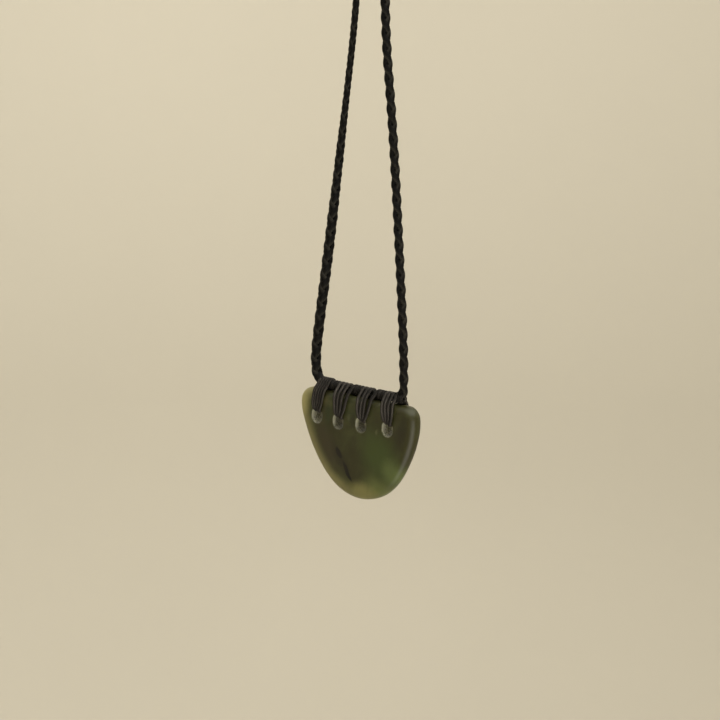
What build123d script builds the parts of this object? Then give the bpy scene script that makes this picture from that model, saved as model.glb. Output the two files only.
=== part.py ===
from build123d import *

# Greenstone breastplate pendant on a plaited neck cord, in millimetres.
# The loop hangs from the origin, the highest point inside it. X runs along the stone's width, the
# polished face looks to -Y and +Z is up. Heights are counted from the stone's top edge.

import math
import os
from collections import namedtuple

# The stone: a flat shield with a straight top edge and softly rounded rims
stone_width = 50.8
stone_height = 34.7
stone_thickness = 5.8
rim_radius = 2.6

# The drilled holes, a little taller than wide where the thread has worn them
hole_diameter = 4.4
hole_stretch = 0.8
hole_rim_radius = 0.4

# The plaited cord and the waxed thread that binds it along the stone's top edge
cord_diameter = 2.8
thread_thickness = 1.0
wrap_thickness = 0.35
lash_width = 4.4
lash_shift = 0.3
lash_shoulder_drop = 2.2

# Clearances between neighbours
seat_gap = 0.1
lash_gap = 0.15
hole_gap = 0.12
wrap_gap = 0.05
wrap_end_gap = 0.35

# The hang: the round peg that the loop's top goes over, and how far below it the stone's top edge lies
peg_radius = 3.1
peg_corner_turn = 60
stone_drop = 280.0

# The stone's outline from its top corners down: how far down each row lies, as a share of
# stone_height, and its reach left and right of the middle, as shares of half of stone_width
OutlineRow = namedtuple("OutlineRow", "drop left right")
outline_rows = [
    OutlineRow(drop=0.065, left=0.972, right=0.971),
    OutlineRow(drop=0.161, left=1.000, right=1.000),
    OutlineRow(drop=0.346, left=0.933, right=0.968),
    OutlineRow(drop=0.576, left=0.776, right=0.850),
    OutlineRow(drop=0.778, left=0.568, right=0.684),
    OutlineRow(drop=0.922, left=0.328, right=0.464),
]
top_left_share = 0.807
top_right_share = 0.825
tip_share = 0.067

# One row for each hole and its lashing: where the hole is and where the lashing crosses the bar, as
# shares of half of stone_width, the hole's depth as a share of stone_height, and how wide the threads
# fan out on the bar, as a share of lash_width
LashRow = namedtuple("LashRow", "hole_x hole_drop top_x fan")
lash_rows = [
    LashRow(hole_x=-0.665, hole_drop=0.259, top_x=-0.578, fan=0.95),
    LashRow(hole_x=-0.285, hole_drop=0.274, top_x=-0.218, fan=1.54),
    LashRow(hole_x=0.114, hole_drop=0.259, top_x=0.193, fan=1.61),
    LashRow(hole_x=0.572, hole_drop=0.242, top_x=0.542, fan=1.04),
]

half_width = stone_width / 2
half_thickness = stone_thickness / 2
stone_top = -stone_drop
cord_radius = cord_diameter / 2
hole_half_height = (hole_diameter + hole_stretch) / 2
wrap_bore_radius = cord_radius + wrap_gap
wrap_radius = wrap_bore_radius + wrap_thickness
bar_height = wrap_radius + seat_gap
bar_z = stone_top + bar_height
lash_seat = half_thickness + lash_gap
lash_reach = lash_seat + 2 * thread_thickness

# The neck cord's route, chosen by hand: x, and height above the stone's top edge. Each side starts at
# its end of the bar, turns up and runs almost straight towards the peg
left_side = [
    (-13.9, bar_height),
    (-18.8, bar_height),
    (-20.9, 8.6),
    (-19.5, 21.5),
    (-16.0, 46.5),
    (-10.5, 92.5),
    (-6.4, 128.0),
    (-5.1, 168.0),
    (-4.8, 203.5),
    (-4.6, 243.5),
    (-4.52, 267.5),
]
right_side = [
    (12.0, bar_height),
    (18.7, bar_height),
    (18.7, 8.3),
    (18.0, 20.5),
    (15.6, 44.5),
    (10.8, 88.5),
    (5.5, 124.0),
    (4.9, 162.0),
    (4.75, 200.0),
    (4.6, 240.5),
    (4.52, 266.5),
]

os.makedirs("parts", exist_ok=True)


def outline_point(side, share, drop):
    """A point of the stone's outline, in the plane of its face."""
    return (side * share * half_width, stone_top - drop * stone_height)


def side_curve(side, top_share, shares):
    """One side of the stone's outline, from its top corner round to the tip."""
    points = [outline_point(side, top_share, 0)]
    points += [outline_point(side, share, row.drop) for share, row in zip(shares, outline_rows)]
    points += [outline_point(1, tip_share, 1)]
    return Spline(*points, tangents=[(side, 0), (-side, 0)], tangent_scalars=(1, 1))


def hole_centre(row):
    """The middle of a hole, in the plane of the stone's face."""
    return outline_point(1, row.hole_x, row.hole_drop)


def hole_shape(row):
    """A hole's outline."""
    with BuildSketch(Plane.XZ) as shape:
        with Locations(hole_centre(row)):
            SlotCenterToCenter(hole_stretch, hole_diameter, rotation=90)
    return shape.sketch


def lash_low(row):
    """The height at which a lashing's inner side bears on the top of its hole."""
    return hole_centre(row)[1] + hole_half_height - hole_gap


def lash_section(row):
    """The closed band that a lashing makes round the bar and the stone's upper part, seen along X."""
    shoulder = stone_top - lash_shoulder_drop
    low = lash_low(row)
    with BuildSketch(Plane.YZ) as band:
        with Locations((0, (shoulder + low) / 2)):
            Rectangle(2 * lash_seat, shoulder - low)
        with Locations((0, bar_z)):
            Circle(cord_radius + lash_gap)
        inside = make_hull()
        offset(amount=thread_thickness)
        add(inside, mode=Mode.SUBTRACT)
    return band.sketch


def lash_fan(row):
    """The lashing seen from the front: narrow at its hole, then fanned out and leaning over the bar."""
    low = lash_low(row) - 2 * thread_thickness
    high = bar_z + cord_radius + lash_gap + 2 * thread_thickness
    foot = row.hole_x * half_width + lash_shift
    head = row.top_x * half_width
    foot_half = lash_width / 2
    head_half = lash_width * row.fan / 2
    with BuildSketch(Plane.XZ.offset(-lash_reach)) as fan:
        with BuildLine():
            Polyline(
                (foot - foot_half, low),
                (foot + foot_half, low),
                (head + head_half, high),
                (head - head_half, high),
                close=True,
            )
        make_face()
    return fan.sketch


def beside_hole(row):
    """The stone's part round a hole, which a lashing keeps out of on its way through."""
    with BuildSketch(Plane.XZ) as around:
        with Locations(hole_centre(row)):
            Rectangle(3 * lash_width, 4 * hole_half_height)
            SlotCenterToCenter(hole_stretch, hole_diameter - 2 * hole_gap, rotation=90, mode=Mode.SUBTRACT)
    return around.sketch


def route_point(x, height):
    """A point of the neck cord, in its own upright plane."""
    return Vector(x, 0, stone_top + height)


def peg_corners():
    """The three corners that take the cord over the peg, from left to right."""
    reach = (peg_radius + cord_radius) / math.cos(math.radians(peg_corner_turn / 2))
    corners = []
    for step in (1, 0, -1):
        angle = math.radians(90 + step * peg_corner_turn)
        corners.append(Vector(reach * math.cos(angle), 0, reach * math.sin(angle) - peg_radius))
    return corners


def corner_radii(points):
    """The arc that each corner's two runs allow."""
    radii = []
    for before, corner, after in zip(points, points[1:], points[2:]):
        run_in = corner - before
        run_out = after - corner
        half_turn = math.radians(run_in.get_angle(run_out) / 2)
        radii.append(0.45 * min(run_in.length, run_out.length) / math.tan(half_turn))
    return radii


def save(part, name):
    """Label one finished piece and write it."""
    part.label = name
    export_step(part, f"parts/{name}.step")


# Stone
with BuildPart() as stone:
    with BuildSketch(Plane.XZ):
        with BuildLine():
            left_curve = side_curve(-1, top_left_share, [row.left for row in outline_rows])
            right_curve = side_curve(1, top_right_share, [row.right for row in outline_rows])
            Line(left_curve @ 0, right_curve @ 0)
        make_face()
    extrude(amount=half_thickness, both=True)
    fillet(faces().filter_by(Axis.Y).edges(), radius=rim_radius)
    for lash_row in lash_rows:
        extrude(hole_shape(lash_row), amount=stone_thickness, both=True, mode=Mode.SUBTRACT)
    flats = faces().filter_by(Axis.Y)
    hole_rims = [edge for flat in flats for wire in flat.inner_wires() for edge in wire.edges()]
    fillet(hole_rims, radius=hole_rim_radius)
save(stone.part, "stone")

# Bar: the stretch of the plait that lies along the stone's top edge
bar_left = left_side[0][0]
bar_right = right_side[0][0]
with BuildPart() as top_bar:
    with BuildSketch(Plane.YZ.offset(bar_left)):
        with Locations((0, bar_z)):
            Circle(cord_radius)
    extrude(amount=bar_right - bar_left)
save(top_bar.part, "top_bar")

# Lashings: threads through each hole, over the bar and down the back, side by side in one band
for number, lash_row in enumerate(lash_rows, start=1):
    with BuildPart() as lash:
        extrude(lash_section(lash_row), amount=half_width, both=True)
        extrude(lash_fan(lash_row), amount=2 * lash_reach, mode=Mode.INTERSECT)
        extrude(beside_hole(lash_row), amount=lash_seat, both=True, mode=Mode.SUBTRACT)
    save(lash.part, f"lash_{number}")

# Wraps: the same thread wound round the bar from one lashing to the next
for number, (before, after) in enumerate(zip(lash_rows, lash_rows[1:]), start=1):
    start = before.top_x * half_width + lash_width * before.fan / 2 + wrap_end_gap
    finish = after.top_x * half_width - lash_width * after.fan / 2 - wrap_end_gap
    with BuildPart() as bar_wrap:
        with BuildSketch(Plane.YZ.offset(start)):
            with Locations((0, bar_z)):
                Circle(wrap_radius)
                Circle(wrap_bore_radius, mode=Mode.SUBTRACT)
        extrude(amount=finish - start)
    save(bar_wrap.part, f"bar_wrap_{number}")

# Neck cord: the plait from the bar's left end over the peg to its right end
neck_route = [route_point(*point) for point in left_side]
neck_route += peg_corners()
neck_route += [route_point(*point) for point in reversed(right_side)]
neck_radii = corner_radii(neck_route)
with BuildPart() as neck_braid:
    with BuildLine() as neck_path:
        FilletPolyline(*neck_route, radius=neck_radii)
    neck_wire = neck_path.wire()
    with BuildSketch(Plane(origin=neck_wire @ 0, z_dir=neck_wire % 0)):
        Circle(cord_radius)
    sweep()
save(neck_braid.part, "neck_braid")

section_volume = math.pi * cord_radius**2 * neck_wire.length
print("neck radii", [round(radius, 1) for radius in neck_radii])
print("neck length", round(neck_wire.length, 1))
print("neck volume over section times length", round(neck_braid.part.volume / section_volume, 4))
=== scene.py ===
"""Looks of a greenstone breastplate pendant: polished stone, waxed lashings and a plaited neck cord."""

import logging
import math
import random
from bisect import bisect_right
from dataclasses import dataclass
from enum import Enum
from typing import Sequence

import bmesh
import bpy
from bmesh.types import BMEdge, BMesh, BMVert
from bpy.types import ID, Material, Mesh, Node, NodeSocket, NodeTree, Object
from mathutils import Euler, Matrix, Vector
from mathutils.kdtree import KDTree


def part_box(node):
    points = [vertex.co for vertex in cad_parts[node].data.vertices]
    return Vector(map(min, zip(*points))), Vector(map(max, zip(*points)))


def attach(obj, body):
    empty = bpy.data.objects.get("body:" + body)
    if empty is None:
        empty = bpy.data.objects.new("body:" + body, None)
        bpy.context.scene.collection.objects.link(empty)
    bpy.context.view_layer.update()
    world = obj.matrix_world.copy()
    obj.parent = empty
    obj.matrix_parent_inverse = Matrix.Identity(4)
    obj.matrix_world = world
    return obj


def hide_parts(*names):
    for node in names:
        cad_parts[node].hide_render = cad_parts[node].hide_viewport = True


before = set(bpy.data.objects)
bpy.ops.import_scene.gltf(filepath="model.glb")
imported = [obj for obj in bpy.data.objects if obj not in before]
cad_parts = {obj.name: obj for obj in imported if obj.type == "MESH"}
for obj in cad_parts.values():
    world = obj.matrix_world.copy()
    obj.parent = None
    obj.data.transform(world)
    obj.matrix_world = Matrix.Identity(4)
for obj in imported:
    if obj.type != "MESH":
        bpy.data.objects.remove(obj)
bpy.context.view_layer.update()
STONE_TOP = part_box("stone")[1].z

LOG = logging.getLogger("pendant")
MM = 0.001
FACE = Vector((0, -1, 0))
Colour = tuple[float, float, float]
DAYLIGHT: Colour = (1.0, 0.97, 0.92)


class Slot(Enum):
    """The record's material slots."""

    GREENSTONE = "greenstone"
    PLAITED_CORD = "plaited_cord"
    WAXED_THREAD = "waxed_thread"


class Turn(Enum):
    """Which way round its plait a strand turns, and with that where it lies on top."""

    ONWARD = 1
    BACKWARD = -1


def add_object(name: str, data: ID) -> Object:
    """Put a new object in the scene.

    Args:
        name: The object's name.
        data: Its mesh, camera or light.

    Returns:
        The object.
    """
    made = bpy.data.objects.new(name, data)
    bpy.context.scene.collection.objects.link(made)
    return made


def new_mesh(shape: BMesh, name: str) -> Mesh:
    """Make a mesh of a finished shape.

    Args:
        shape: The shape, which is freed.
        name: The mesh's name.

    Returns:
        The mesh.
    """
    mesh = bpy.data.meshes.new(name)
    shape.to_mesh(mesh)
    shape.free()
    return mesh


def add_piece(mesh: Mesh, name: str, slot: Slot, nodes: Sequence[str], finish: Material) -> None:
    """Put a finished mesh in the scene in place of its solids, and report it.

    Args:
        mesh: The mesh, placed in the row's frame.
        name: The piece's name.
        slot: The material slot meant for the piece; not used.
        nodes: The solids that the piece stands for, if any.
        finish: The piece's material.
    """
    mesh.materials.append(finish)
    piece = add_object(name, mesh)
    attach(piece, "root")
    if nodes:
        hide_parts(*nodes)
    triangles = sum(len(face.vertices) - 2 for face in mesh.polygons)
    LOG.info("%s: %d triangles", name, triangles)


def spline_line(points: Sequence[Vector], closed: bool = False, samples: int = 12) -> list[Vector]:
    """Read the smooth line that a NURBS spline makes of a few control points.

    Args:
        points: The control points.
        closed: Whether the line comes back to its start.
        samples: How many steps the spline makes from one control point to the next.

    Returns:
        The points along the line.
    """
    curve = bpy.data.curves.new("line", "CURVE")
    curve.dimensions = "3D"
    spline = curve.splines.new("NURBS")
    spline.points.add(len(points) - 1)
    for control, point in zip(spline.points, points):
        control.co = (*point, 1)
    spline.order_u = 3
    spline.use_endpoint_u = not closed
    spline.use_cyclic_u = closed
    spline.resolution_u = samples
    carrier = bpy.data.objects.new("line", curve)
    mesh = bpy.data.meshes.new_from_object(carrier)
    line = [vertex.co.copy() for vertex in mesh.vertices]
    bpy.data.objects.remove(carrier)
    bpy.data.meshes.remove(mesh)
    bpy.data.curves.remove(curve)
    return line


class Line:
    """A smooth line measured along its length."""

    def __init__(self, points: Sequence[Vector]) -> None:
        """Measure a list of points.

        Args:
            points: The points along the line, close together.
        """
        self.points = list(points)
        self.marks = [0.0]
        for before, after in zip(self.points, self.points[1:]):
            self.marks.append(self.marks[-1] + (after - before).length)
        self.length = self.marks[-1]

    def at(self, distance: float) -> Vector:
        """Give the point at a distance along the line.

        Args:
            distance: How far along, held within the line.

        Returns:
            The point there.
        """
        distance = min(max(distance, 0.0), self.length)
        high = min(bisect_right(self.marks, distance), len(self.marks) - 1)
        before, after = self.marks[high - 1], self.marks[high]
        share = (distance - before) / (after - before) if after > before else 0.0
        return self.points[high - 1].lerp(self.points[high], share)

    def heading(self, distance: float, reach: float = 0.4 * MM) -> Vector:
        """Give the line's direction at a distance along it, read a little to each side."""
        return (self.at(distance + reach) - self.at(distance - reach)).normalized()

    def even_marks(self, count: int) -> list[float]:
        """Give the distances that part the line into a number of equal steps."""
        return [self.length * step / count for step in range(count + 1)]


def ring_frame(middle: Vector, across: Vector, lifted: Vector, onward: Vector) -> Matrix:
    """Give the frame that turns a unit circle into a ring with these two half widths."""
    turned = Matrix((across, lifted, onward * MM)).transposed()
    return Matrix.Translation(middle) @ turned.to_4x4()


def sweep_rings(frames: Sequence[Matrix], marks: Sequence[float], sides: int) -> BMesh:
    """Sweep a circle through a row of frames, each of which sizes, turns and places it.

    Args:
        frames: A frame for each ring: its X and Y are the ring's half widths and its Z the way on.
        marks: How far along the strand each ring lies.
        sides: How many sides the ring has.

    Returns:
        The closed strand, with a UV map of millimetres along and turns round.
    """
    strand = bmesh.new()
    side_layer = strand.verts.layers.int.new("side")
    mark_layer = strand.verts.layers.float.new("mark")
    bmesh.ops.create_circle(strand, cap_ends=True, segments=sides, radius=1.0, matrix=frames[0])
    strand.verts.ensure_lookup_table()
    for index, vertex in enumerate(strand.verts):
        vertex[side_layer] = index
        vertex[mark_layer] = marks[0] / MM
    rim = list(strand.edges)
    for before, after, mark in zip(frames, frames[1:], marks[1:]):
        made = bmesh.ops.extrude_edge_only(strand, edges=rim)["geom"]
        ring = [item for item in made if isinstance(item, BMVert)]
        fresh = set(ring)
        edges = [item for item in made if isinstance(item, BMEdge)]
        rim = [edge for edge in edges if fresh.issuperset(edge.verts)]
        bmesh.ops.transform(strand, matrix=after @ before.inverted(), verts=ring)
        for vertex in ring:
            vertex[mark_layer] = mark / MM
    bmesh.ops.contextual_create(strand, geom=rim)
    bmesh.ops.recalc_face_normals(strand, faces=strand.faces)
    uv_layer = strand.loops.layers.uv.new("UVMap")
    for face in strand.faces:
        face.smooth = len(face.verts) == 4
        turns = [loop.vert[side_layer] for loop in face.loops]
        wraps = face.smooth and max(turns) - min(turns) > 1
        for loop, turn in zip(face.loops, turns):
            around = sides if wraps and turn == 0 else turn
            loop[uv_layer].uv = (loop.vert[mark_layer], around / sides)
    return strand


def join_strands(strands: Sequence[BMesh], name: str) -> Mesh:
    """Put several strands into one mesh.

    Args:
        strands: The strands, which are freed.
        name: The mesh's name.

    Returns:
        The joined mesh.
    """
    whole = bmesh.new()
    for strand in strands:
        step = new_mesh(strand, "strand")
        whole.from_mesh(step)
        bpy.data.meshes.remove(step)
    return new_mesh(whole, name)


@dataclass(frozen=True)
class PlaitStation:
    """How the plait lies at one place: where, how far it has rolled, and how full it is."""

    mark: float
    roll: float
    size: float


@dataclass
class PlaitRun:
    """A stretch of plait: its middle line, and how the plait lies at places along it, in order."""

    line: Line
    stations: Sequence[PlaitStation]

    def station_at(self, distance: float) -> PlaitStation:
        """Blend the two stations on either side of a place.

        Args:
            distance: The place, as a distance along the line.

        Returns:
            The blended station.
        """
        for before, after in zip(self.stations, self.stations[1:]):
            if distance <= after.mark:
                share = max(0.0, distance - before.mark) / (after.mark - before.mark)
                smooth = share * share * (3 - 2 * share)
                roll = before.roll + (after.roll - before.roll) * smooth
                size = before.size + (after.size - before.size) * smooth
                return PlaitStation(distance, roll, size)
        return self.stations[-1]


@dataclass
class Plait:
    """A round plait of four flattened strands, two turning each way, over and under each other."""

    pitch: float = 9.7 * MM
    over_reach: float = 0.88 * MM
    under_reach: float = 0.52 * MM
    half_width: float = 0.88 * MM
    half_thickness: float = 0.50 * MM
    sides: int = 10
    steps_per_turn: int = 24
    heart_radius: float = 0.34 * MM
    heart_step: float = 1.5 * MM
    fewest_steps: int = 4

    def strand_point(
        self, run: PlaitRun, turn: Turn, start: float, distance: float
    ) -> tuple[Vector, Vector]:
        """Find where one strand is and which way is outward there.

        Args:
            run: The stretch of plait.
            turn: Which way round the strand turns.
            start: The strand's angle at the line's start.
            distance: The place along the line.

        Returns:
            The strand's middle point and the outward direction.
        """
        here = run.station_at(distance)
        roll = math.radians(here.roll)
        angle = start + turn.value * math.tau * distance / self.pitch
        mean = (self.over_reach + self.under_reach) / 2
        swing = (self.over_reach - self.under_reach) / 2
        reach = here.size * (mean + turn.value * swing * math.cos(2 * angle))
        onward = run.line.heading(distance)
        sideways = onward.cross(FACE).normalized()
        outward = FACE * math.cos(angle + roll) + sideways * math.sin(angle + roll)
        return run.line.at(distance) + outward * reach, outward

    def strand(self, run: PlaitRun, turn: Turn, start: float) -> BMesh:
        """Make one strand.

        Args:
            run: The stretch of plait.
            turn: Which way round the strand turns.
            start: The strand's angle at the line's start.

        Returns:
            The strand as a closed mesh.
        """
        count = max(self.fewest_steps, round(run.line.length / self.pitch * self.steps_per_turn))
        marks = run.line.even_marks(count)
        spots = [self.strand_point(run, turn, start, mark) for mark in marks]
        frames = []
        for index, ((point, outward), mark) in enumerate(zip(spots, marks)):
            before = spots[max(index - 1, 0)][0]
            after = spots[min(index + 1, count)][0]
            onward = (after - before).normalized()
            across = outward.cross(onward).normalized()
            lifted = onward.cross(across)
            size = run.station_at(mark).size
            width, thickness = self.half_width * size, self.half_thickness * size
            frames.append(ring_frame(point, across * width, lifted * thickness, onward))
        return sweep_rings(frames, marks, self.sides)

    def heart(self, run: PlaitRun) -> BMesh:
        """Make the plait's thin middle, which the strands close round, so no light shows through.

        Args:
            run: The stretch of plait.

        Returns:
            The middle as a closed mesh.
        """
        marks = run.line.even_marks(max(self.fewest_steps, round(run.line.length / self.heart_step)))
        frames = []
        for mark in marks:
            onward = run.line.heading(mark)
            across = onward.cross(FACE).normalized()
            lifted = onward.cross(across)
            radius = self.heart_radius * run.station_at(mark).size
            frames.append(ring_frame(run.line.at(mark), across * radius, lifted * radius, onward))
        return sweep_rings(frames, marks, self.sides)

    def mesh(self, run: PlaitRun, name: str) -> Mesh:
        """Make the mesh of all four strands and their middle."""
        strands = [self.strand(run, turn, start) for turn in Turn for start in (0.0, math.pi)]
        return join_strands([*strands, self.heart(run)], name)


@dataclass
class NeckCord:
    """The closed neck loop, from one end of the bar over the peg to the other.

    Each side lists x and the height above the stone's top edge, from the bar's end upwards.
    """

    plait: Plait
    finish: Material
    left_side: tuple[tuple[float, float], ...] = (
        (-0.0139, 0.0019),
        (-0.0188, 0.0019),
        (-0.0209, 0.0086),
        (-0.0195, 0.0215),
        (-0.0160, 0.0465),
        (-0.0105, 0.0925),
        (-0.0064, 0.1280),
        (-0.0051, 0.1680),
        (-0.0048, 0.2035),
        (-0.0046, 0.2435),
        (-0.00452, 0.2675),
    )
    right_side: tuple[tuple[float, float], ...] = (
        (0.0120, 0.0019),
        (0.0187, 0.0019),
        (0.0187, 0.0083),
        (0.0180, 0.0205),
        (0.0156, 0.0445),
        (0.0108, 0.0885),
        (0.0055, 0.1240),
        (0.0049, 0.1620),
        (0.00475, 0.2000),
        (0.0046, 0.2405),
        (0.00452, 0.2665),
    )
    peg_radius: float = 3.1 * MM
    cord_radius: float = 1.4 * MM
    peg_corner_turn: float = 60.0
    stations: tuple[PlaitStation, ...] = (
        PlaitStation(0 * MM, 64.0, 1.36),
        PlaitStation(45 * MM, 64.0, 1.38),
        PlaitStation(58 * MM, 66.0, 1.35),
        PlaitStation(76 * MM, 72.0, 1.14),
        PlaitStation(104 * MM, 80.0, 0.87),
        PlaitStation(170 * MM, 84.0, 0.93),
        PlaitStation(290 * MM, 60.0, 1.1),
        PlaitStation(420 * MM, 48.0, 1.15),
        PlaitStation(560 * MM, 50.0, 1.15),
    )

    def route(self) -> list[Vector]:
        """Give the cord's route.

        Returns:
            The route's points, from the bar's left end over the peg to its right end.
        """
        points = [Vector((x, 0, STONE_TOP + height)) for x, height in self.left_side]
        reach = (self.peg_radius + self.cord_radius) / math.cos(math.radians(self.peg_corner_turn / 2))
        for step in (1, 0, -1):
            angle = math.radians(90 + step * self.peg_corner_turn)
            points.append(Vector((reach * math.cos(angle), 0, reach * math.sin(angle) - self.peg_radius)))
        points += [Vector((x, 0, STONE_TOP + height)) for x, height in reversed(self.right_side)]
        return points

    def build(self) -> None:
        """Plait the neck loop."""
        line = Line(spline_line(self.route()))
        mesh = self.plait.mesh(PlaitRun(line, self.stations), "neck_plait")
        add_piece(mesh, "neck_plait", Slot.PLAITED_CORD, ["neck_braid"], self.finish)


@dataclass
class Bar:
    """The stretch of the plait that lies along the stone's top edge, pulled tight by its lashings."""

    plait: Plait
    finish: Material
    roll: float = 45.0
    size: float = 1.22
    sag: float = 0.4 * MM

    def build(self) -> None:
        """Plait the bar between its two ends."""
        low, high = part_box("top_bar")
        middle = (low + high) / 2
        middle.z -= self.sag
        ends = [Vector((x, middle.y, middle.z)) for x in (low.x, high.x)]
        marks = (0.0, (ends[1] - ends[0]).length)
        stations = [PlaitStation(mark, self.roll, self.size) for mark in marks]
        mesh = self.plait.mesh(PlaitRun(Line([ends[0], middle, ends[1]]), stations), "bar_plait")
        add_piece(mesh, "bar_plait", Slot.PLAITED_CORD, ["top_bar"], self.finish)


@dataclass
class Thread:
    """The round waxed thread that binds the stone to the bar."""

    radius: float = 0.54 * MM
    sides: int = 12
    step: float = 0.35 * MM
    fewest_steps: int = 6
    samples: int = 8

    def strand(self, control: Sequence[Vector], closed: bool) -> BMesh:
        """Lay one thread along a few control points.

        Args:
            control: The control points of its line.
            closed: Whether it comes back to its start.

        Returns:
            The thread as a mesh.
        """
        line = Line(spline_line(control, closed, self.samples))
        count = max(self.fewest_steps, round(line.length / self.step))
        marks = line.even_marks(count)
        points = [line.at(mark) for mark in marks]
        across = Vector((-1, 0, 0))
        frames = []
        for index, point in enumerate(points):
            onward = (points[min(index + 1, count)] - points[max(index - 1, 0)]).normalized()
            across = (across - onward * across.dot(onward)).normalized()
            lifted = onward.cross(across)
            frames.append(ring_frame(point, across * self.radius, lifted * self.radius, onward))
        return sweep_rings(frames, marks, self.sides)


@dataclass(frozen=True)
class LashPlan:
    """One lashing: its solid, the middle of its hole, and how far right its threads enter it.

    The heads are where its threads cross the bar, in millimetres. The crest is how high they lie over
    the bar's middle, and the back drift is how far they stray to the right behind the stone's top edge.
    """

    node: str
    hole: float
    shift: float
    heads: tuple[float, ...]
    crest: float = 1.22 * MM
    back_drift: float = 0.0


@dataclass
class Lashings:
    """The four lashings, each a few turns of thread through a hole and over the bar."""

    thread: Thread
    finish: Material
    plans: tuple[LashPlan, ...] = (
        LashPlan("lash_1", -16.89 * MM, 0.30 * MM, (-17.0, -16.0, -15.0, -14.0, -12.9), 1.78 * MM),
        LashPlan("lash_2", -7.24 * MM, 0.62 * MM, (-8.3, -6.5, -4.7, -2.3)),
        LashPlan("lash_3", 2.90 * MM, 0.88 * MM, (2.1, 3.9, 5.3, 8.2)),
        LashPlan("lash_4", 14.53 * MM, 0.45 * MM, (12.2, 13.5, 15.0, 16.7), 1.32 * MM, 1.6 * MM),
    )
    hole_radius: float = 2.2 * MM
    hole_spread: float = 1.5 * MM
    hole_gap: float = 0.12 * MM
    offset_limit: float = 0.94
    rest_limit: float = 0.80
    band_thickness: float = 1.0 * MM
    shoulder_drop: float = 2.2 * MM
    foot_spread: float = 3.45 * MM
    foot_share: float = 0.2
    belly: float = 0.10
    fan_out: float = 1.15
    back_gather: float = 0.6 * MM
    bite: float = 0.45 * MM
    unevenness: float = 0.12 * MM
    calm_share: float = 0.25
    seed: int = 7

    def control_points(self, plan: LashPlan, index: int, rng: random.Random) -> list[Vector]:
        """Give the closed line of one turn of thread, up the front, over the bar and down the back.

        Args:
            plan: The lashing.
            index: Which of its threads.
            rng: Gives the small unevenness.

        Returns:
            The control points of the closed line.
        """
        bar_low, bar_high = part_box("top_bar")
        lash_low, lash_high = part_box(plan.node)
        bar_z = (bar_low.z + bar_high.z) / 2
        bar_reach = lash_high.z - bar_z - self.band_thickness / 2 - self.bite
        side = lash_high.y - self.band_thickness / 2
        count = len(plan.heads)
        place = index - (count - 1) / 2
        hole_spacing = self.hole_spread / (count - 1)
        foot_spacing = self.foot_spread / (count - 1)
        head = plan.heads[index] * MM
        arc = self.hole_radius - self.thread.radius - self.hole_gap / 2
        hole_top = lash_low.z + self.band_thickness + self.hole_gap
        offset = min(plan.shift + place * hole_spacing, self.offset_limit * arc)
        rest = min(offset, self.rest_limit * arc)
        low = hole_top - self.hole_radius + math.sqrt(arc**2 - rest**2)
        shoulder = STONE_TOP - self.shoulder_drop
        rise = bar_z + plan.crest - low
        # The front half, from inside the hole up to the crest: how far out, and how high
        loop = [
            (0.0, low),
            (-0.55 * side, low),
            (-0.92 * side, low + 0.05 * MM),
            (-side - 0.03 * MM, low + 1.2 * MM),
            (-side, (low + shoulder) / 2 + 0.4 * MM),
            (-side, shoulder + 0.5 * MM),
            (-0.90 * side, STONE_TOP + 0.3 * MM),
            (-1.12 * bar_reach, bar_z),
            (-0.80 * bar_reach, bar_z + 0.72 * plan.crest),
            (0.0, bar_z + plan.crest),
        ]
        mirrored = [(-y, z) for y, z in reversed(loop[1:-1])]
        points = []
        for y, z in loop + mirrored:
            share = min(max((z - low) / rise, 0.0), 1.0)
            opened = min(share / self.foot_share, 1.0)
            start = plan.hole + offset
            start += place * (foot_spacing - hole_spacing) * opened
            leaf = self.belly * math.sin(math.pi * share) * place * foot_spacing
            x = start + leaf + (head - start) * share**self.fan_out
            if y > 0:
                behind = math.sin(math.pi * share) ** 2
                x += (plan.back_drift - place * self.back_gather) * behind
            loose = min(1.0, share / self.calm_share)
            sway = self.unevenness * rng.uniform(-1, 1) * loose
            lift = self.unevenness * rng.uniform(0, 1) * (1 if y < 0 else -1) * loose
            points.append(Vector((x + sway, y - lift, z)))
        return points

    def build(self) -> None:
        """Wind the lashings one after the other."""
        for plan in self.plans:
            rng = random.Random(self.seed + len(plan.heads) + int(plan.node[-1]))
            controls = [self.control_points(plan, index, rng) for index in range(len(plan.heads))]
            name = plan.node + "_threads"
            mesh = join_strands([self.thread.strand(control, closed=True) for control in controls], name)
            add_piece(mesh, name, Slot.WAXED_THREAD, [plan.node], self.finish)


@dataclass(frozen=True)
class Winding:
    """A straight stretch of the bar with thread wound round it, and how far out the thread lies."""

    name: str
    nodes: tuple[str, ...]
    start: Vector
    end: Vector
    reach: float
    seed: int


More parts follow.
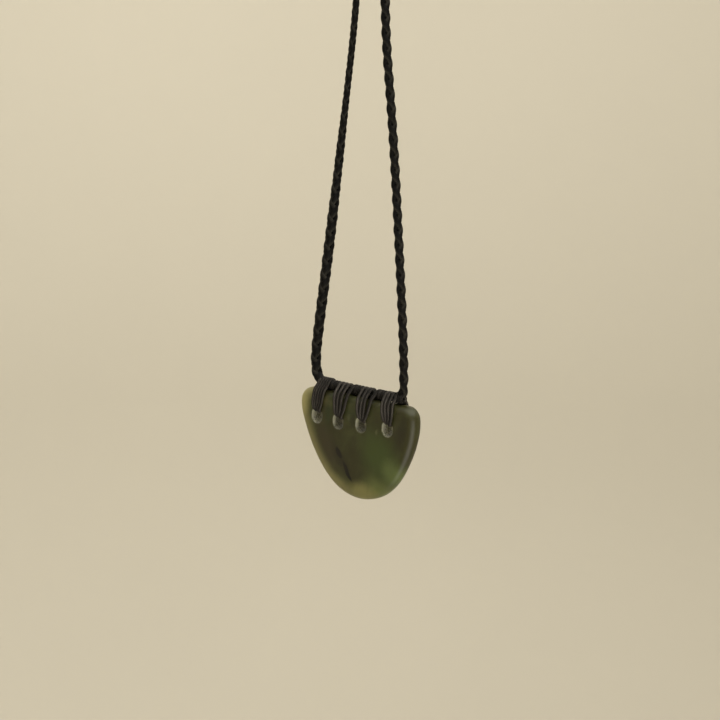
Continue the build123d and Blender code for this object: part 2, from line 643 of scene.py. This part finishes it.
@dataclass
class BarWraps:
    """The turns of thread that run round the bar from one lashing to the next and past the last."""

    thread: Thread
    finish: Material
    nodes: tuple[str, ...] = ("bar_wrap_1", "bar_wrap_2", "bar_wrap_3")
    overhang: float = 0.4 * MM
    sink: float = 0.2 * MM
    press: float = 0.75
    end_from: float = 16.0 * MM
    end_to: float = 19.1 * MM
    end_height: float = 1.8 * MM
    end_reach: float = 1.42 * MM
    turn_spacing: float = 1.15 * MM
    corners_per_turn: int = 8
    corner_reach: float = 1.08
    tucked_reach: float = 0.55
    slant: float = 0.5 * MM
    wander: float = 0.1 * MM
    seed: int = 3

    def stretches(self) -> list[Winding]:
        """Measure the stretches between the lashings, and the last one, where the bar turns up.

        Returns:
            The stretches from left to right.
        """
        found = []
        for node in self.nodes:
            low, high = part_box(node)
            middle = (low + high) / 2
            start = Vector((low.x - self.overhang, middle.y, middle.z - self.sink))
            end = Vector((high.x + self.overhang, middle.y, middle.z - self.sink))
            reach = (high.z - low.z) / 2 - self.press * self.thread.radius
            found.append(Winding(node + "_turns", (node,), start, end, reach, self.seed + int(node[-1])))
        ends = [Vector((x, 0, STONE_TOP + self.end_height)) for x in (self.end_from, self.end_to)]
        return [*found, Winding("end_turns", (), *ends, self.end_reach, self.seed)]

    def strand(self, winding: Winding) -> BMesh:
        """Wind the thread round one stretch of the bar, over the stone's top edge.

        Args:
            winding: The stretch.

        Returns:
            The thread as a mesh.
        """
        turns = max(1, round((winding.end - winding.start).length / self.turn_spacing))
        last = turns * self.corners_per_turn
        rng = random.Random(winding.seed)
        control = []
        for step in range(last + 1):
            share = step / last
            angle = math.tau * turns * share - math.pi / 2
            tuck = self.tucked_reach if step in (0, last) else self.corner_reach
            spoke = Vector((0, -math.cos(angle), math.sin(angle))) * winding.reach * tuck
            spoke.x = self.slant * math.cos(angle) + rng.uniform(-self.wander, self.wander)
            point = winding.start.lerp(winding.end, share) + spoke
            point.z = max(point.z, STONE_TOP + self.thread.radius)
            control.append(point)
        return self.thread.strand(control, closed=False)

    def build(self) -> None:
        """Wind the stretches one after the other."""
        for winding in self.stretches():
            mesh = new_mesh(self.strand(winding), winding.name)
            add_piece(mesh, winding.name, Slot.WAXED_THREAD, winding.nodes, self.finish)


@dataclass
class Stone:
    """The polished stone, smoothed from its solid, with its rims and holes marked for the finish."""

    finish: Material
    voxel: float = 0.25 * MM
    smooth_passes: int = 6
    smooth_factor: float = 0.5
    rim_limit: float = 16.0
    merge_distance: float = 0.001 * MM

    def outlines(self, mesh: Mesh) -> tuple[list[Vector], list[Vector]]:
        """Cut the stone through the middle of its thickness and read its outlines.

        Args:
            mesh: The stone's mesh.

        Returns:
            The points along the outer outline, and those along the holes.
        """
        cut = bmesh.new()
        cut.from_mesh(mesh)
        everything = list(cut.verts) + list(cut.edges) + list(cut.faces)
        made = bmesh.ops.bisect_plane(cut, geom=everything, plane_co=(0, 0, 0), plane_no=(0, 1, 0))
        left = {item for item in made["geom_cut"] if isinstance(item, BMEdge)}
        loops = []
        while left:
            group = [left.pop()]
            for edge in group:
                linked = {other for vertex in edge.verts for other in vertex.link_edges} & left
                left -= linked
                group += linked
            loops.append([(edge.verts[0].co + edge.verts[1].co) / 2 for edge in group])
        cut.free()
        loops.sort(key=lambda points: max(p.x for p in points) - min(p.x for p in points))
        return loops[-1], [point for loop in loops[:-1] for point in loop]

    def distances(self, mesh: Mesh, name: str, outline: Sequence[Vector]) -> None:
        """Write each point's distance from an outline, in millimetres, as an attribute.

        Args:
            mesh: The mesh that gets the attribute.
            name: The attribute's name.
            outline: The points along the outline.
        """
        tree = KDTree(len(outline))
        for index, point in enumerate(outline):
            tree.insert((point.x, 0, point.z), index)
        tree.balance()
        attribute = mesh.attributes.new(name, "FLOAT", "POINT")
        for index, vertex in enumerate(mesh.vertices):
            gap = tree.find((vertex.co.x, 0, vertex.co.z))[2] / MM
            attribute.data[index].value = min(gap, self.rim_limit)

    def build(self) -> None:
        """Smooth the stone and mark it."""
        shape = bmesh.new()
        shape.from_mesh(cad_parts["stone"].data)
        bmesh.ops.remove_doubles(shape, verts=shape.verts, dist=self.merge_distance)
        carrier = add_object("stone_rough", new_mesh(shape, "stone_rough"))
        remesh = carrier.modifiers.new("remesh", "REMESH")
        remesh.mode = "VOXEL"
        remesh.voxel_size = self.voxel
        bpy.context.view_layer.update()
        graph = bpy.context.evaluated_depsgraph_get()
        fine = bpy.data.meshes.new_from_object(carrier.evaluated_get(graph))
        bpy.data.objects.remove(carrier)
        shape = bmesh.new()
        shape.from_mesh(fine)
        axes = {"use_axis_" + axis: True for axis in "xyz"}
        for _ in range(self.smooth_passes):
            bmesh.ops.smooth_vert(shape, verts=shape.verts, factor=self.smooth_factor, **axes)
        bmesh.ops.recalc_face_normals(shape, faces=shape.faces)
        shape.to_mesh(fine)
        shape.free()
        fine.shade_smooth()
        rim, holes = self.outlines(fine)
        self.distances(fine, "rim", rim)
        self.distances(fine, "hole", holes)
        fine.name = "polished_stone"
        fine.materials.clear()
        add_piece(fine, "polished_stone", Slot.GREENSTONE, ["stone"], self.finish)


class Graph:
    """Helps to lay out a shader tree."""

    def __init__(self, tree: NodeTree) -> None:
        """Take a node tree and empty it."""
        self.tree = tree
        self.tree.nodes.clear()

    def node(self, kind: str, **settings: object) -> Node:
        """Add a node.

        Args:
            kind: The node's type, without the ShaderNode that starts it.
            settings: The node's own settings.

        Returns:
            The node.
        """
        made = self.tree.nodes.new("ShaderNode" + kind)
        for name, value in settings.items():
            setattr(made, name, value)
        return made

    def feed(self, target: NodeSocket, value: object) -> None:
        """Give an input a value or another node's output.

        Args:
            target: The input.
            value: A number, a colour, a vector or an output.
        """
        if isinstance(value, NodeSocket):
            self.tree.links.new(value, target)
        else:
            target.default_value = value

    def fill(self, node: Node, **values: object) -> Node:
        """Give several of a node's inputs their values.

        Args:
            node: The node.
            values: Values or outputs, by the input's name, with underscores for spaces.

        Returns:
            The same node.
        """
        for name, value in values.items():
            self.feed(node.inputs[name.replace("_", " ")], value)
        return node

    def work_out(self, node: Node, values: Sequence[object]) -> Node:
        """Give a node's first inputs their values in order.

        Args:
            node: The node.
            values: Values or outputs.

        Returns:
            The same node.
        """
        for target, value in zip(node.inputs, values):
            self.feed(target, value)
        return node

    def math(self, operation: str, *values: object, clamp: bool = False) -> NodeSocket:
        """Work out a number, held from 0 to 1 if it is clamped."""
        return self.work_out(self.node("Math", operation=operation, use_clamp=clamp), values).outputs[0]

    def vector(self, operation: str, *values: object) -> NodeSocket:
        """Work out a vector, or the number that is two vectors' dot product."""
        made = self.work_out(self.node("VectorMath", operation=operation), values)
        return made.outputs["Value" if operation == "DOT_PRODUCT" else "Vector"]

    def place(self, kind: str) -> NodeSocket:
        """Read one of the coordinates of the place that is shaded."""
        return self.node("TexCoord").outputs[kind]

    def parts(self, vector: NodeSocket) -> tuple[NodeSocket, ...]:
        """Part a vector into its three numbers."""
        return tuple(self.fill(self.node("SeparateXYZ"), Vector=vector).outputs)

    def mapping(self, kind: str, **values: object) -> NodeSocket:
        """Move, turn or stretch a pattern's place."""
        return self.fill(self.node("Mapping", vector_type=kind), **values).outputs[0]

    def ramp(self, value: NodeSocket, start: float, end: float) -> NodeSocket:
        """Ease a number from 0 at start to 1 at end."""
        made = self.node("MapRange", interpolation_type="SMOOTHSTEP")
        return self.fill(made, Value=value, From_Min=start, From_Max=end).outputs["Result"]

    def blend(self, share: object, first: object, second: object) -> NodeSocket:
        """Blend two colours.

        Args:
            share: How much of the second.
            first: The first colour.
            second: The second colour.

        Returns:
            The blended colour.
        """
        made = self.node("Mix", data_type="RGBA")
        self.feed(made.inputs[0], share)
        self.feed(made.inputs[6], first)
        self.feed(made.inputs[7], second)
        return made.outputs[2]

    def noise(
        self, place: NodeSocket, scale: float, detail: float, distortion: float = 0.0, output: str = "Fac"
    ) -> NodeSocket:
        """Read one output of a noise texture at a place."""
        values = {"Vector": place, "Scale": scale, "Detail": detail, "Distortion": distortion}
        return self.fill(self.node("TexNoise"), **values).outputs[output]

    def bump(self, height: NodeSocket, strength: float, distance: float) -> NodeSocket:
        """Turn a height into a surface's normal."""
        made = self.node("Bump")
        return self.fill(made, Height=height, Strength=strength, Distance=distance).outputs[0]

    def group(self, tree: NodeTree, **values: object) -> Node:
        """Place a node group and fill its inputs."""
        return self.fill(self.node("Group", node_tree=tree), **values)


def new_material(name: str) -> tuple[Material, Graph, Node]:
    """Start a material with its own Principled shader.

    Args:
        name: The material's name.

    Returns:
        The material, its graph and the shader node.
    """
    material = bpy.data.materials.new(name)
    material.use_nodes = True
    graph = Graph(material.node_tree)
    shader = graph.node("BsdfPrincipled")
    graph.fill(graph.node("OutputMaterial"), Surface=shader.outputs[0])
    return material, graph, shader


def opaque(colour: Colour) -> tuple[float, float, float, float]:
    """Give a colour its alpha."""
    return (*colour, 1.0)


def patch_group() -> NodeTree:
    """Make the group for a soft-edged oval patch on the stone's face, in millimetres.

    Returns:
        The group's tree: Mask is 1 in the middle of the oval and 0 outside it.
    """
    tree = bpy.data.node_groups.new("soft patch", "ShaderNodeTree")
    for name in ("Place", "Centre", "Turn", "Reach"):
        tree.interface.new_socket(name, in_out="INPUT", socket_type="NodeSocketVector")
    tree.interface.new_socket("Mask", in_out="OUTPUT", socket_type="NodeSocketFloat")
    graph = Graph(tree)
    given = tree.nodes.new("NodeGroupInput").outputs
    oval = graph.mapping(
        "TEXTURE",
        Vector=given["Place"],
        Location=given["Centre"],
        Rotation=given["Turn"],
        Scale=given["Reach"],
    )
    ball = graph.fill(graph.node("TexGradient", gradient_type="SPHERICAL"), Vector=oval)
    soft = graph.ramp(ball.outputs["Fac"], 0.0, 0.8)
    graph.fill(tree.nodes.new("NodeGroupOutput"), Mask=soft)
    return tree


def fibre_group() -> NodeTree:
    """Make the group for twisted, waxed filaments along a strand, read from its UV map.

    Returns:
        The group's tree: Height of the filaments, Crown, which is 1 on the strand's outer side and 0
        in the crevices beside it and places the painted sheen and shade, and Dust, the pale lint and wax.
    """
    tree = bpy.data.node_groups.new("waxed filaments", "ShaderNodeTree")
    for name in ("Filaments", "Lay"):
        tree.interface.new_socket(name, in_out="INPUT", socket_type="NodeSocketFloat")
    for name in ("Height", "Crown", "Dust"):
        tree.interface.new_socket(name, in_out="OUTPUT", socket_type="NodeSocketFloat")
    graph = Graph(tree)
    given = tree.nodes.new("NodeGroupInput").outputs
    place = graph.place("Object")
    along, around, _ = graph.parts(graph.place("UV"))
    turned = graph.math("ADD", around, graph.math("DIVIDE", along, given["Lay"]))
    phase = graph.math("MULTIPLY", turned, given["Filaments"])
    shaken = graph.math("MULTIPLY_ADD", graph.noise(place, scale=900.0, detail=2.0), 0.9, phase)
    wave = graph.math("SINE", graph.math("MULTIPLY", shaken, math.tau))
    rounded = graph.math("MULTIPLY_ADD", wave, 0.35, 0.5)
    side = graph.math("SINE", graph.math("MULTIPLY", around, math.tau))
    graph.fill(
        tree.nodes.new("NodeGroupOutput"),
        Height=graph.math("MULTIPLY_ADD", graph.noise(place, scale=5200.0, detail=3.0), 0.35, rounded),
        Crown=graph.ramp(side, -0.15, 1.0),
        Dust=graph.ramp(graph.noise(place, scale=2600.0, detail=2.0), 0.66, 0.78),
    )
    return tree


@dataclass(frozen=True)
class WaxedFinish:
    """Black waxed cord: fine filaments, a dull sheen, partly real gloss and partly painted sheen on the
    strands' crowns with painted shade in their crevices, and a little lint.
    """

    name: str
    filaments: float
    lay: float
    # dark is the cord's black and also its painted shade in the crevices; pale is the painted sheen on
    # the strands' crowns and filament ridges
    dark: Colour
    pale: Colour
    dust: Colour
    dust_share: float
    roughness: float
    relief: float = 0.09 * MM

    def material(self, fibres: NodeTree) -> Material:
        """Make the material.

        Args:
            fibres: The group that draws the filaments.

        Returns:
            The material.
        """
        material, graph, shader = new_material(self.name)
        strands = graph.group(fibres, Filaments=self.filaments, Lay=self.lay).outputs
        cloudy = graph.ramp(graph.noise(graph.place("Object"), scale=260.0, detail=3.0), 0.35, 0.7)
        # Painted sheen and shade: pale on the strands' crowns and filament ridges stands in for their
        # highlights, dark in the crevices for their shade, varied at random by the cloudy noise
        ridge = graph.math("MULTIPLY_ADD", graph.ramp(strands["Height"], 0.35, 1.0), 0.6, 0.4)
        patchy_sheen = graph.math("MULTIPLY_ADD", cloudy, 0.5, 0.5)
        lit = graph.math("MULTIPLY", graph.math("MULTIPLY", ridge, patchy_sheen), strands["Crown"])
        body = graph.blend(lit, opaque(self.dark), opaque(self.pale))
        dusty = graph.math("MULTIPLY", strands["Dust"], self.dust_share)
        graph.fill(
            shader,
            Base_Color=graph.blend(dusty, body, opaque(self.dust)),
            Roughness=graph.math("MULTIPLY_ADD", cloudy, 0.16, self.roughness),
            Normal=graph.bump(strands["Height"], strength=0.8, distance=self.relief),
            Specular_IOR_Level=0.12,
        )
        return material


@dataclass(frozen=True)
class StonePatch:
    """A soft oval of another colour in the stone, placed on its face in millimetres."""

    centre: tuple[float, float]
    reach: tuple[float, float]
    lean: float
    colour: Colour
    share: float


@dataclass(frozen=True)
class GreenstoneFinish:
    """Polished nephrite: dark olive with a leafy green cloud and smoky streaks, and a pale painted glow
    of light through its thin edges.
    """

    deep: Colour = (0.0315, 0.0300, 0.0090)
    middle: Colour = (0.0460, 0.0490, 0.0150)
    # Painted glow of light through the stone's thin edges, most along the left edge
    edge_glow: Colour = (0.2350, 0.2130, 0.0880)
    # The pale colour of the holes' ground walls, which also stands in for painted light on the walls that
    # face right and up
    frost_and_light_colour: Colour = (0.3600, 0.3520, 0.2600)
    felt: Colour = (0.0600, 0.0640, 0.0230)
    fleck: Colour = (0.1400, 0.1450, 0.0700)
    patches: tuple[StonePatch, ...] = (
        StonePatch((11.3, -18.5), (11.0, 14.0), -30.0, (0.0460, 0.0640, 0.0140), 0.95),
        StonePatch((17.6, -23.5), (6.5, 7.0), -30.0, (0.1080, 0.1400, 0.0420), 0.75),
        StonePatch((11.5, -29.8), (9.5, 5.5), 25.0, (0.1150, 0.1350, 0.0380), 0.8),
        StonePatch((4.5, -32.2), (9.5, 5.5), 0.0, (0.2250, 0.2100, 0.0720), 0.8),
        StonePatch((-11.5, -18.5), (5.0, 14.0), -38.0, (0.0420, 0.0330, 0.0160), 0.7),
        StonePatch((-11.0, -5.5), (2.2, 9.0), 4.0, (0.0230, 0.0340, 0.0100), 0.7),
        StonePatch((-1.5, -4.5), (3.5, 6.0), -10.0, (0.0260, 0.0340, 0.0105), 0.6),
        StonePatch((-0.6, -8.5), (1.6, 4.5), 0.0, (0.0150, 0.0135, 0.0065), 0.5),
        StonePatch((20.0, -9.0), (4.0, 7.5), 8.0, (0.0205, 0.0175, 0.0075), 0.7),
        StonePatch((-20.5, -4.5), (4.5, 6.0), 0.0, (0.0720, 0.0800, 0.0260), 0.6),
    )
    # Painted glow of light through the thin stone, at the top of the left edge and near the tip
    glows: tuple[StonePatch, ...] = (
        StonePatch((-25.0, -4.5), (5.5, 9.0), 0.0, (0.3900, 0.3500, 0.1400), 0.85),
        StonePatch((-6.0, -32.0), (8.0, 5.0), 45.0, (0.2000, 0.1820, 0.0700), 0.6),
    )
    streaks: tuple[StonePatch, ...] = (
        StonePatch((-2.6, -25.6), (1.10, 4.7), -31.0, (0.0040, 0.0032, 0.0022), 3.0),
        StonePatch((-6.1, -19.6), (1.15, 2.6), -33.0, (0.0075, 0.0060, 0.0040), 2.2),
        StonePatch((-5.0, -22.5), (3.0, 9.0), -37.0, (0.0150, 0.0120, 0.0072), 0.45),
        StonePatch((10.0, -10.0), (0.7, 1.6), 0.0, (0.1100, 0.1150, 0.0550), 0.6),
        StonePatch((-2.4, -7.2), (0.8, 2.0), 5.0, (0.0900, 0.0950, 0.0450), 0.5),
    )
    roughness: float = 0.37
    relief: float = 0.12 * MM
    swirl_reach: tuple[float, float, float] = (3.0, 1.0, 3.0)
    patch_depth: float = 30.0
    felt_lean: float = 38.0
    felt_stretch: tuple[float, float, float] = (1.6, 1.0, 0.35)
    felt_share: float = 0.16
    fleck_share: float = 0.5
    # How much painted edge glow, light through the thin stone, runs all round the rim
    thin_edge_glow: float = 0.03
    # Directions of the hole walls painted paler as if lit: those facing right, and those facing up
    left_way: tuple[float, float, float] = (0.9, 0, -0.43)
    low_way: tuple[float, float, float] = (-0.35, 0, 0.94)

    def material(self, patch: NodeTree) -> Material:
        """Make the material.

        Args:
            patch: The group for a soft oval patch.

        Returns:
            The material.
        """
        material, graph, shader = new_material("polished greenstone")
        place = graph.place("Object")
        spot = graph.mapping("TEXTURE", Vector=place, Location=(0, 0, STONE_TOP), Scale=(MM, MM, MM))
        swirl = graph.noise(spot, scale=0.16, detail=3.0, output="Color")
        shifted = graph.vector("MULTIPLY_ADD", swirl, self.swirl_reach, spot)
        drift = graph.vector("SUBTRACT", shifted, [reach / 2 for reach in self.swirl_reach])
        cloud = graph.ramp(graph.noise(drift, scale=0.11, detail=4.0, distortion=0.6), 0.38, 0.66)
        colour = graph.blend(cloud, opaque(self.deep), opaque(self.middle))
        colour = self.lay_patches(graph, patch, drift, self.patches, colour)
        colour = self.fibres(graph, spot, colour)
        colour = self.lay_patches(graph, patch, drift, self.streaks, colour)
        # Painted glow of light through the thin edges, then the painted glow patches
        colour = self.paint_edge_glow(graph, drift, colour)
        colour = self.lay_patches(graph, patch, drift, self.glows, colour)
        # The holes' ground walls, with painted light on the walls facing right and up and painted shade
        # deeper inside
        frost_and_light_mask = self.frost_and_painted_light(graph, spot)
        graph.fill(shader, Base_Color=graph.blend(frost_and_light_mask, colour, opaque(self.frost_and_light_colour)))
        self.surface(graph, shader, spot, frost_and_light_mask)
        return material

    def fibres(self, graph: Graph, spot: NodeSocket, colour: NodeSocket) -> NodeSocket:
        """Lay the stone's felted fibres and a few pale flecks over a colour.

        Args:
            graph: The material's graph.
            spot: The place in millimetres.
            colour: The colour so far.

        Returns:
            The colour with fibres.
        """
        turn = (0, math.radians(self.felt_lean), 0)
        lean = graph.mapping("POINT", Vector=spot, Rotation=turn, Scale=self.felt_stretch)
        felt = graph.noise(lean, scale=0.55, detail=4.0, distortion=0.5)
        lit = graph.blend(graph.ramp(felt, 0.45, 0.80), colour, opaque(self.felt))
        colour = graph.blend(self.felt_share, colour, lit)
        flecks = graph.ramp(graph.noise(lean, scale=1.5, detail=2.0), 0.73, 0.80)
        share = graph.math("MULTIPLY", flecks, self.fleck_share)
        return graph.blend(share, colour, opaque(self.fleck))

    def lay_patches(
        self,
        graph: Graph,
        patch: NodeTree,
        drift: NodeSocket,
        ovals: Sequence[StonePatch],
        colour: NodeSocket,
    ) -> NodeSocket:
        """Lay soft ovals of other colours over a colour.

        Args:
            graph: The material's graph.
            patch: The group for a soft oval patch.
            drift: The swirled place in millimetres.
            ovals: The patches.
            colour: The colour so far.

        Returns:
            The colour with its patches.
        """
        for oval in ovals:
            centre = (oval.centre[0], 0, oval.centre[1])
            turn = (0, math.radians(oval.lean), 0)
            reach = (oval.reach[0], self.patch_depth, oval.reach[1])
            mask = graph.group(patch, Place=drift, Centre=centre, Turn=turn, Reach=reach).outputs["Mask"]
            share = graph.math("MULTIPLY", mask, oval.share)
            colour = graph.blend(share, colour, opaque(oval.colour))
        return colour

    def paint_edge_glow(self, graph: Graph, drift: NodeSocket, colour: NodeSocket) -> NodeSocket:
        """Paint the glow of light through the stone's thin edges, paler towards its rim, most along the
        left edge and the tip.

        Args:
            graph: The material's graph.
            drift: The swirled place in millimetres.
            colour: The colour so far.

        Returns:
            The colour with its painted edge glow.
        """
        # Painted glow of light through the thin stone: a wide band along the left edge, kept off the top
        # strip, and a faint band all round the rim
        rim = graph.node("Attribute", attribute_name="rim").outputs["Fac"]
        x, _, z = graph.parts(drift)
        below = graph.math("MAXIMUM", graph.ramp(x, -14.0, -22.0), graph.ramp(z, -1.0, -7.0))
        edge = graph.math("MULTIPLY", graph.ramp(rim, 6.0, 0.5), graph.ramp(x, 6.0, -12.0))
        wide = graph.math("MULTIPLY", edge, below)
        thin = graph.math("MULTIPLY", graph.ramp(rim, 2.0, 0.0), self.thin_edge_glow)
        return graph.blend(graph.math("MAXIMUM", wide, thin), colour, opaque(self.edge_glow))

    def frost_and_painted_light(self, graph: Graph, spot: NodeSocket) -> NodeSocket:
        """Mark the ground, unpolished walls of the holes, with painted light: paler on the walls that
        face right and up and near the mouths, darker deeper inside as painted shade.

        Args:
            graph: The material's graph.
            spot: The place in millimetres.

        Returns:
            The mask.
        """
        hole = graph.node("Attribute", attribute_name="hole").outputs["Fac"]
        normal = graph.place("Normal")
        x, y, _ = graph.parts(spot)
        # Painted light and shade in the holes: paler near the mouths on the walls that face right and on
        # the low walls that face up, darker deeper inside
        mouth = graph.ramp(graph.math("ABSOLUTE", y), 0.7, 1.8)
        patchy = graph.ramp(graph.noise(spot, scale=2.0, detail=3.0), 0.38, 0.60)
        left = graph.ramp(graph.vector("DOT_PRODUCT", normal, self.left_way), 0.35, 0.85)
        low = graph.ramp(graph.vector("DOT_PRODUCT", normal, self.low_way), 0.5, 0.95)
        patchy_lit_floor = graph.math("MULTIPLY", low, graph.math("MULTIPLY_ADD", patchy, 0.5, 0.12))
        ring = graph.math("MULTIPLY", mouth, graph.math("MAXIMUM", left, patchy_lit_floor))
        outer = graph.ramp(graph.math("ABSOLUTE", x), 8.0, 13.0)
        chalk = graph.math("MULTIPLY_ADD", outer, 0.36, 0.38)
        inside = graph.math("MULTIPLY", graph.math("ADD", patchy, 0.4), chalk)
        share = graph.math("MAXIMUM", ring, inside)
        return graph.math("MULTIPLY", graph.ramp(hole, 0.32, 0.10), share)

    def surface(self, graph: Graph, shader: Node, spot: NodeSocket, frost_and_light_mask: NodeSocket) -> None:
        """Give the stone its polish, its depth and its faint unevenness.

        Args:
            graph: The material's graph.
            shader: The Principled shader.
            spot: The place in millimetres.
            frost_and_light_mask: The mask of the holes' ground walls, with the painted light on them.
        """
        haze = graph.noise(spot, scale=0.55, detail=4.0)
        polish = graph.math("MULTIPLY_ADD", haze, 0.10, self.roughness - 0.05)
        ground = graph.math("MULTIPLY", graph.noise(spot, scale=7.0, detail=3.0), frost_and_light_mask)
        waves = graph.math("MULTIPLY", graph.noise(spot, scale=0.35, detail=2.0), 0.6)
        graph.fill(
            shader,
            Roughness=graph.math("MULTIPLY_ADD", frost_and_light_mask, 0.5, polish, clamp=True),
            Normal=graph.bump(graph.math("ADD", ground, waves), strength=0.5, distance=self.relief),
            IOR=1.61,
            Specular_IOR_Level=0.28,
            Subsurface_Weight=0.25,
            Subsurface_Radius=(1.0, 1.1, 0.5),
            Subsurface_Scale=0.8 * MM,
        )


def direction(azimuth: float, elevation: float) -> Vector:
    """Give the direction from the pendant at an azimuth to its right and an elevation, in degrees."""
    turn, rise = math.radians(azimuth), math.radians(elevation)
    return Vector((math.sin(turn) * math.cos(rise), -math.cos(turn) * math.cos(rise), math.sin(rise)))


@dataclass(frozen=True)
class SoftLight:
    """A soft light: where it hangs round the pendant, its size in metres and its power in watts."""

    name: str
    azimuth: float
    elevation: float
    distance: float
    width: float
    height: float
    power: float
    colour: Colour = DAYLIGHT
    outward: bool = False


@dataclass
class Studio:
    """A plain pale floor that rises into a wall all round, soft lights and the camera."""

    azimuth: float = 41.45
    elevation: float = 11.87
    distance: float = 0.698
    aim_azimuth: float = 41.49
    aim_drop: float = 10.89
    roll: float = 1.64
    lens: float = 105.0
    sensor: float = 36.0
    clip_start: float = 0.01
    floor_drop: float = 1.05
    floor_radius: float = 1.25
    wall_radius: float = 1.9
    wall_top: float = 1.1
    cove_steps: int = 14
    round_steps: int = 96
    merge_distance: float = 0.01 * MM
    paper: Colour = (0.508, 0.474, 0.389)
    mottle_dim: float = 0.95
    sky_dim: float = 0.45
    sky_bright: float = 2.7
    sky_edge: float = -0.6
    sky_side: tuple[float, float] = (70.0, 15.0)
    lights: tuple[SoftLight, ...] = (
        SoftLight("window", 64.0, -30.0, 0.90, 0.80, 1.20, 6.0),
        SoftLight("wall wash", 228.0, 5.0, 0.85, 0.5, 0.5, 5.0, outward=True),
        SoftLight("room wash", 45.0, 5.0, 0.95, 0.5, 0.5, 3.5, outward=True),
    )

    def camera(self, anchor: Vector) -> None:
        """Place the camera as the photograph sees the pendant.

        Args:
            anchor: The middle of the stone's top edge.
        """
        data = bpy.data.cameras.new("camera")
        data.lens = self.lens
        data.sensor_width = self.sensor
        data.clip_start = self.clip_start
        camera = add_object("camera", data)
        camera.location = anchor + direction(self.azimuth, self.elevation) * self.distance
        aim = Euler((math.radians(90 - self.aim_drop), 0, math.radians(self.aim_azimuth))).to_matrix()
        rolled = aim @ Matrix.Rotation(math.radians(self.roll), 3, "Z")
        camera.rotation_euler = rolled.to_euler()
        bpy.context.scene.camera = camera

    def backdrop(self, anchor: Vector) -> None:
        """Make the floor and the wall that it rises into.

        Args:
            anchor: The middle of the stone's top edge, over the floor's middle.
        """
        sweep = bmesh.new()
        floor_z = anchor.z - self.floor_drop
        cove = self.wall_radius - self.floor_radius
        outline = [sweep.verts.new((0, 0, floor_z)), sweep.verts.new((self.floor_radius, 0, floor_z))]
        for step in range(1, self.cove_steps + 1):
            angle = math.pi / 2 * step / self.cove_steps
            x = self.floor_radius + cove * math.sin(angle)
            outline.append(sweep.verts.new((x, 0, floor_z + cove * (1 - math.cos(angle)))))
        outline.append(sweep.verts.new((self.wall_radius, 0, self.wall_top)))
        edges = [sweep.edges.new(pair) for pair in zip(outline, outline[1:])]
        whole = {"cent": (0, 0, 0), "axis": (0, 0, 1), "angle": math.tau, "use_merge": True}
        bmesh.ops.spin(sweep, geom=outline + edges, steps=self.round_steps, **whole)
        bmesh.ops.remove_doubles(sweep, verts=sweep.verts, dist=self.merge_distance)
        bmesh.ops.recalc_face_normals(sweep, faces=sweep.faces)
        bmesh.ops.reverse_faces(sweep, faces=sweep.faces)
        mesh = new_mesh(sweep, "backdrop")
        mesh.shade_smooth()
        mesh.materials.append(self.paper_finish())
        add_object("backdrop", mesh)

    def paper_finish(self) -> Material:
        """Make the backdrop's plain matt finish.

        Returns:
            The material.
        """
        material, graph, shader = new_material("pale backdrop")
        mottle = graph.noise(graph.place("Object"), scale=3.0, detail=3.0)
        darker = tuple(channel * self.mottle_dim for channel in self.paper)
        paper = graph.blend(mottle, opaque(darker), opaque(self.paper))
        graph.fill(shader, Base_Color=paper, Roughness=0.9, Specular_IOR_Level=0.1)
        return material

    def hang_light(self, light: SoftLight, anchor: Vector) -> None:
        """Hang one soft light that looks at the pendant, or outward at the wall behind it.

        Args:
            light: The light.
            anchor: The place in the studio's middle.
        """
        back = direction(light.azimuth, light.elevation)
        data = bpy.data.lights.new(light.name, "AREA")
        data.shape = "RECTANGLE"
        data.size = light.width
        data.size_y = light.height
        data.energy = light.power
        data.color = light.colour
        lamp = add_object(light.name, data)
        lamp.location = anchor + back * light.distance
        aim = back if light.outward else -back
        lamp.rotation_euler = aim.to_track_quat("-Z", "Y").to_euler()
        lamp.visible_camera = False

    def sky(self) -> None:
        """Make the soft light from above, brighter on the pendant's right."""
        world = bpy.data.worlds.new("sky")
        world.use_nodes = True
        graph = Graph(world.node_tree)
        facing = graph.vector("DOT_PRODUCT", graph.place("Generated"), direction(*self.sky_side))
        share = graph.ramp(facing, self.sky_edge, 1.0)
        strength = graph.math("MULTIPLY_ADD", share, self.sky_bright - self.sky_dim, self.sky_dim)
        glow = graph.fill(graph.node("Background"), Color=opaque(DAYLIGHT), Strength=strength)
        graph.fill(graph.node("OutputWorld"), Surface=glow.outputs[0])
        bpy.context.scene.world = world

    def build(self) -> None:
        """Set up the whole studio."""
        anchor = Vector((0, 0, STONE_TOP))
        self.backdrop(anchor)
        self.camera(anchor)
        for light in self.lights:
            self.hang_light(light, anchor)
        self.sky()
        bpy.context.scene.view_settings.view_transform = "Standard"


def main() -> None:
    """Build every piece, dress it and set up the studio."""
    logging.basicConfig(level=logging.INFO, format="%(name)s: %(message)s")
    fibres = fibre_group()
    cord_finish = WaxedFinish(
        name="waxed plait",
        filaments=9.0,
        lay=11.0,
        dark=(0.0030, 0.0027, 0.0020),
        pale=(0.0400, 0.0370, 0.0290),
        dust=(0.022, 0.020, 0.017),
        dust_share=0.20,
        roughness=0.52,
    ).material(fibres)
    thread_finish = WaxedFinish(
        name="waxed thread",
        filaments=5.0,
        lay=5.0,
        dark=(0.0100, 0.0088, 0.0075),
        pale=(0.1150, 0.1030, 0.0880),
        dust=(0.060, 0.046, 0.040),
        dust_share=0.25,
        roughness=0.48,
    ).material(fibres)
    stone_finish = GreenstoneFinish().material(patch_group())
    plait = Plait()
    thread = Thread()
    NeckCord(plait, cord_finish).build()
    Bar(plait, cord_finish).build()
    Lashings(thread, thread_finish).build()
    BarWraps(thread, thread_finish).build()
    Stone(stone_finish).build()
    Studio().build()


if __name__ == "__main__":
    main()
